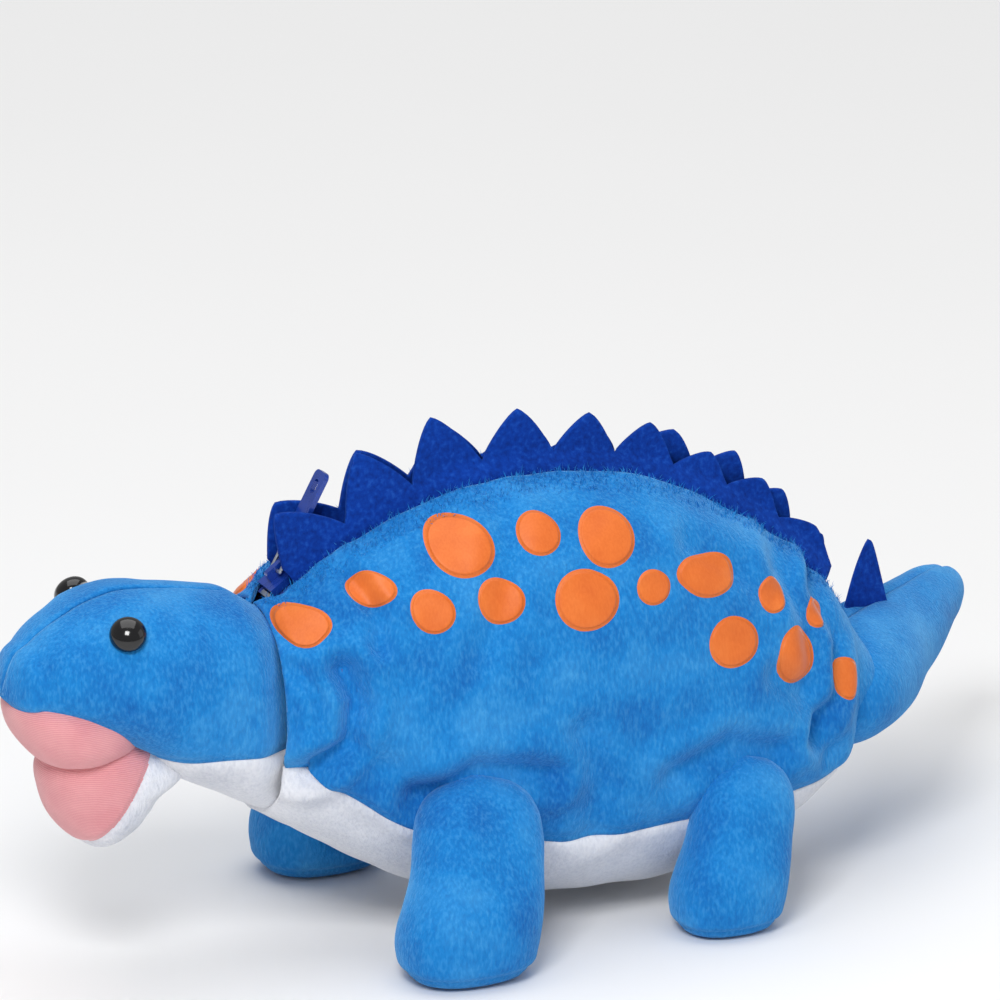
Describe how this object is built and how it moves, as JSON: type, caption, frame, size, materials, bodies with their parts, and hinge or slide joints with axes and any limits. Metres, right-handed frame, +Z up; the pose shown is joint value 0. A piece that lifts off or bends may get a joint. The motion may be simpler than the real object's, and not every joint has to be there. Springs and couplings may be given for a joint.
{
  "type": "plush animal pencil pouch",
  "caption": "Plush stegosaurus pencil pouch: zip along the spine between felt spikes, lined hollow body, stuffed head, tail and legs that bend at their seams.",
  "frame": {"origin": "on the floor, on the middle plane, midway between the front and rear feet", "axes": "+Z up, +X towards the tail, the animal's left side towards -Y"},
  "size_m": [0.3053, 0.1328, 0.1438],
  "materials": {
    "blue_plush": "short-pile minky plush",
    "belly_plush": "short-pile minky plush",
    "mouth_knit": "fine ribbed knit",
    "pouch_lining": "plain woven nylon",
    "spike_felt": "stiff wool-look felt",
    "satin_spots": "heat-pressed satin",
    "stuffing": "polyester fibre",
    "zip_tape": "woven polyester tape",
    "zip_coil": "nylon coil",
    "zip_metal": "blue enamel",
    "zip_enamel": "blue enamel, glossy",
    "eye_gloss": "polished black",
    "washer_plastic": "moulded"
  },
  "bodies": {
    "torso": {"belly_panel": "belly_plush", "lining_lower": "pouch_lining", "left_side_panel": "blue_plush", "right_side_panel": "blue_plush", "neck_closing_panel": "pouch_lining", "tail_closing_panel": "pouch_lining", "left_side_spots": "satin_spots", "right_side_spots": "satin_spots", "zip_front_stop": "zip_metal", "zip_rear_stop": "zip_metal", "zip_front_tape_ends": "zip_tape", "zip_rear_tape_ends": "zip_tape"},
    "left_back": {"left_back_panel": "blue_plush", "left_back_lining": "pouch_lining", "left_back_spots": "satin_spots", "left_zip_tape": "zip_tape", "left_zip_coil": "zip_coil", "left_spikes": "spike_felt"},
    "right_back": {"right_back_panel": "blue_plush", "right_back_lining": "pouch_lining", "right_back_spots": "satin_spots", "right_zip_tape": "zip_tape", "right_zip_coil": "zip_coil", "right_spikes": "spike_felt"},
    "slider": {"slider_body": "zip_enamel"},
    "pull_link": {"pull_link": "zip_metal"},
    "pull_tab": {"pull_tab": "zip_enamel"},
    "head": {"left_head_panel": "blue_plush", "right_head_panel": "blue_plush", "throat_panel": "belly_plush", "mouth_roof_lining": "mouth_knit", "jaw_lining": "mouth_knit", "jaw_panel": "belly_plush", "head_stuffing": "stuffing", "jaw_stuffing": "stuffing", "left_eye": "eye_gloss", "right_eye": "eye_gloss", "left_eye_washer": "washer_plastic", "right_eye_washer": "washer_plastic"},
    "tail": {"left_tail_panel": "blue_plush", "right_tail_panel": "blue_plush", "tail_stuffing": "stuffing", "tail_spike": "spike_felt"},
    "front_left_leg": {"front_left_leg_plush": "blue_plush", "front_left_leg_sole": "blue_plush", "front_left_leg_stuffing": "stuffing"},
    "front_right_leg": {"front_right_leg_plush": "blue_plush", "front_right_leg_sole": "blue_plush", "front_right_leg_stuffing": "stuffing"},
    "rear_left_leg": {"rear_left_leg_plush": "blue_plush", "rear_left_leg_sole": "blue_plush", "rear_left_leg_stuffing": "stuffing"},
    "rear_right_leg": {"rear_right_leg_plush": "blue_plush", "rear_right_leg_sole": "blue_plush", "rear_right_leg_stuffing": "stuffing"}
  },
  "joints": [
    {"name": "slider_travel", "type": "hinge", "parent": "torso", "child": "slider", "pos_m": [-0.0056, 0, 0.0071], "axis": [0, 1, 0], "range_deg": [0, 89.06], "deforming": ["left_zip_coil", "left_zip_tape", "right_zip_coil", "right_zip_tape"]},
    {"name": "left_back_open", "type": "hinge", "parent": "torso", "child": "left_back", "pos_m": [-0.06918, 0, 0.10136], "axis": [0.9877, 0, -0.1564], "range_deg": [0, 52]},
    {"name": "right_back_open", "type": "hinge", "parent": "torso", "child": "right_back", "pos_m": [-0.06918, 0, 0.10136], "axis": [0.9877, 0, -0.1564], "range_deg": [-52, 0]},
    {"name": "pull_link_swing", "type": "hinge", "parent": "slider", "child": "pull_link", "pos_m": [-0.07206, 0, 0.1046], "axis": [0, 1, 0], "range_deg": [-90, 0]},
    {"name": "pull_tab_swing", "type": "hinge", "parent": "pull_link", "child": "pull_tab", "pos_m": [-0.06966, 0, 0.10899], "axis": [0, 1, 0], "range_deg": [-25, 0]},
    {"name": "head_nod", "type": "hinge", "parent": "torso", "child": "head", "pos_m": [-0.092, 0, 0.077], "axis": [0, 1, 0], "range_deg": [-20, 20], "stiffness_Nm_per_rad": 1},
    {"name": "tail_swing", "type": "hinge", "parent": "torso", "child": "tail", "pos_m": [0.09, 0, 0.047], "axis": [0, 0, 1], "range_deg": [-85, 10], "stiffness_Nm_per_rad": 0.3},
    {"name": "front_left_leg_swing", "type": "hinge", "parent": "torso", "child": "front_left_leg", "pos_m": [-0.039, -0.0404, 0.047], "axis": [-1, 0, 0], "range_deg": [0, 60], "stiffness_Nm_per_rad": 0.5},
    {"name": "front_right_leg_swing", "type": "hinge", "parent": "torso", "child": "front_right_leg", "pos_m": [-0.039, 0.0404, 0.047], "axis": [1, 0, 0], "range_deg": [0, 60], "stiffness_Nm_per_rad": 0.5},
    {"name": "rear_left_leg_swing", "type": "hinge", "parent": "torso", "child": "rear_left_leg", "pos_m": [0.039, -0.0404, 0.041], "axis": [-1, 0, 0], "range_deg": [0, 60], "stiffness_Nm_per_rad": 0.5},
    {"name": "rear_right_leg_swing", "type": "hinge", "parent": "torso", "child": "rear_right_leg", "pos_m": [0.039, 0.0404, 0.041], "axis": [1, 0, 0], "range_deg": [0, 60], "stiffness_Nm_per_rad": 0.5}
  ],
  "couplings": [
    {"joint": "left_back_open", "follows": "slider_travel", "ratio": 0.58382},
    {"joint": "right_back_open", "follows": "slider_travel", "ratio": -0.58382}
  ]
}
